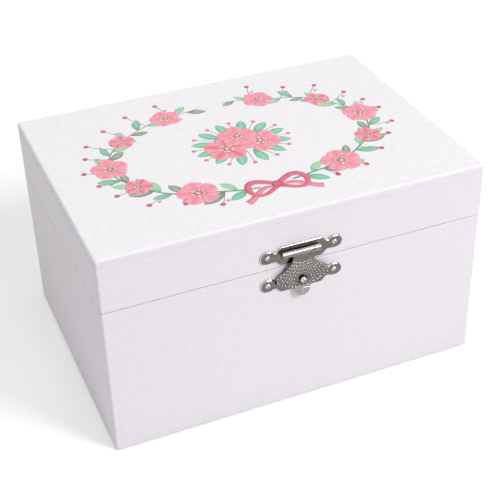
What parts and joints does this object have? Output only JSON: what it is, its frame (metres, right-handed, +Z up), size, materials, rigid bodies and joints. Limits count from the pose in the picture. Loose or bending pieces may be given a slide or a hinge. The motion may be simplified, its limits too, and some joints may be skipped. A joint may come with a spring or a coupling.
{
  "type": "musical jewelry box",
  "caption": "Paper-wrapped musical jewelry box with a hinged lid, a shell-shaped front clasp, lined compartments, ring rolls, a mirror and a wound movement that turns a small dancer.",
  "frame": {"origin": "centre of the underside", "axes": "+X to the right along the front, +Y from the front to the back, +Z up"},
  "size_m": [0.152, 0.1242, 0.0865],
  "materials": {
    "white_paper": "satin, fine linen emboss",
    "grey_board": "matte",
    "grey_felt": "felt",
    "pink_lining": "satin",
    "rose_velvet": "velvet",
    "silvered_glass": "polished",
    "gunmetal": "dark nickel plate",
    "brass": "satin",
    "steel": "satin",
    "cast_zinc": "as cast",
    "moulded_figure": "satin paint",
    "white_plastic": "satin",
    "tulle": "sheer"
  },
  "bodies": {
    "base": {"base_front_board": "grey_board", "base_back_board": "grey_board", "base_left_board": "grey_board", "base_right_board": "grey_board", "base_bottom_board": "grey_board", "base_paper_cover": "white_paper", "base_felt_sheet": "grey_felt", "front_liner": "pink_lining", "back_liner": "pink_lining", "left_liner": "pink_lining", "right_liner": "pink_lining", "floor_liner": "pink_lining", "compartment_divider": "pink_lining", "deck_front_panel": "pink_lining", "deck_board": "pink_lining", "deck_rest_strips": "grey_board", "ring_rolls_left": "rose_velvet", "ring_rolls_right": "rose_velvet", "hinge_left_base_leaf": "gunmetal", "hinge_right_base_leaf": "gunmetal", "hinge_pins": "gunmetal", "base_nails": "gunmetal", "clasp_base_plate": "gunmetal", "movement_bedplate": "cast_zinc", "comb": "steel", "movement_screws": "steel", "governor_bracket": "brass", "key_grommet": "brass", "spindle_bush": "brass"},
    "lid": {"lid_top_board": "grey_board", "lid_front_board": "grey_board", "lid_back_board": "grey_board", "lid_left_board": "grey_board", "lid_right_board": "grey_board", "lid_paper_cover": "white_paper", "lid_ceiling_pad": "pink_lining", "lid_side_lining": "pink_lining", "lid_mirror": "silvered_glass", "mirror_trim": "pink_lining", "hinge_left_lid_leaf": "gunmetal", "hinge_right_lid_leaf": "gunmetal", "clasp_lid_plate": "gunmetal", "clasp_pin": "gunmetal", "lid_nails": "gunmetal"},
    "hasp": {"clasp_hasp": "gunmetal"},
    "winding": {"winding_key": "brass", "winding_arbor": "steel"},
    "barrel": {"spring_barrel": "brass", "mainspring": "steel"},
    "cylinder": {"pinned_cylinder": "brass", "cylinder_great_wheel": "brass"},
    "turntable": {"turntable_spindle": "brass", "turntable_disc": "white_plastic"},
    "ballerina": {"ballerina_figure": "moulded_figure", "ballerina_tutu": "tulle", "ballerina_spring": "steel"},
    "governor": {"governor_wheel": "brass"},
    "fly": {"governor_fly": "steel"},
    "stop": {"stop_wire": "steel"}
  },
  "joints": [
    {"name": "lid_hinge", "type": "hinge", "parent": "base", "child": "lid", "pos_m": [0, 0.0565, 0.06435], "axis": [-1, 0, 0], "range_deg": [0, 100]},
    {"name": "clasp_swing", "type": "hinge", "parent": "lid", "child": "hasp", "pos_m": [0, -0.0565, 0.0706], "axis": [-1, 0, 0], "range_deg": [0, 150]},
    {"name": "key_wind", "type": "hinge", "parent": "base", "child": "winding", "pos_m": [0, 0.0459, 0.0192], "axis": [0, 1, 0], "continuous": true},
    {"name": "barrel_spin", "type": "hinge", "parent": "base", "child": "barrel", "pos_m": [0, 0.0344, 0.0192], "axis": [0, 1, 0], "continuous": true},
    {"name": "cylinder_spin", "type": "hinge", "parent": "base", "child": "cylinder", "pos_m": [0.024, 0.0283, 0.0192], "axis": [1, 0, 0], "continuous": true},
    {"name": "turntable_spin", "type": "hinge", "parent": "base", "child": "turntable", "pos_m": [0, 0.0283, 0.0357], "axis": [0, 0, 1], "continuous": true},
    {"name": "governor_spin", "type": "hinge", "parent": "base", "child": "governor", "pos_m": [0.042, 0.0157, 0.0192], "axis": [1, 0, 0], "continuous": true},
    {"name": "fly_spin", "type": "hinge", "parent": "base", "child": "fly", "pos_m": [0.042, 0.0079, 0.0192], "axis": [0, 0, 1], "continuous": true},
    {"name": "ballerina_rise", "type": "slide", "parent": "turntable", "child": "ballerina", "axis": [0, 0, 1], "range_m": [0, 0.01], "deforming": ["ballerina_spring"]},
    {"name": "stop_rise", "type": "slide", "parent": "base", "child": "stop", "axis": [0, 0, 1], "range_m": [0, 0.004]}
  ],
  "couplings": [
    {"joint": "cylinder_spin", "follows": "barrel_spin", "ratio": -2},
    {"joint": "turntable_spin", "follows": "barrel_spin", "ratio": -2},
    {"joint": "governor_spin", "follows": "barrel_spin", "ratio": 12},
    {"joint": "fly_spin", "follows": "barrel_spin", "ratio": 288},
    {"joint": "ballerina_rise", "follows": "lid_hinge", "m_per_rad": 0.0057},
    {"joint": "stop_rise", "follows": "lid_hinge", "m_per_rad": 0.00228}
  ]
}
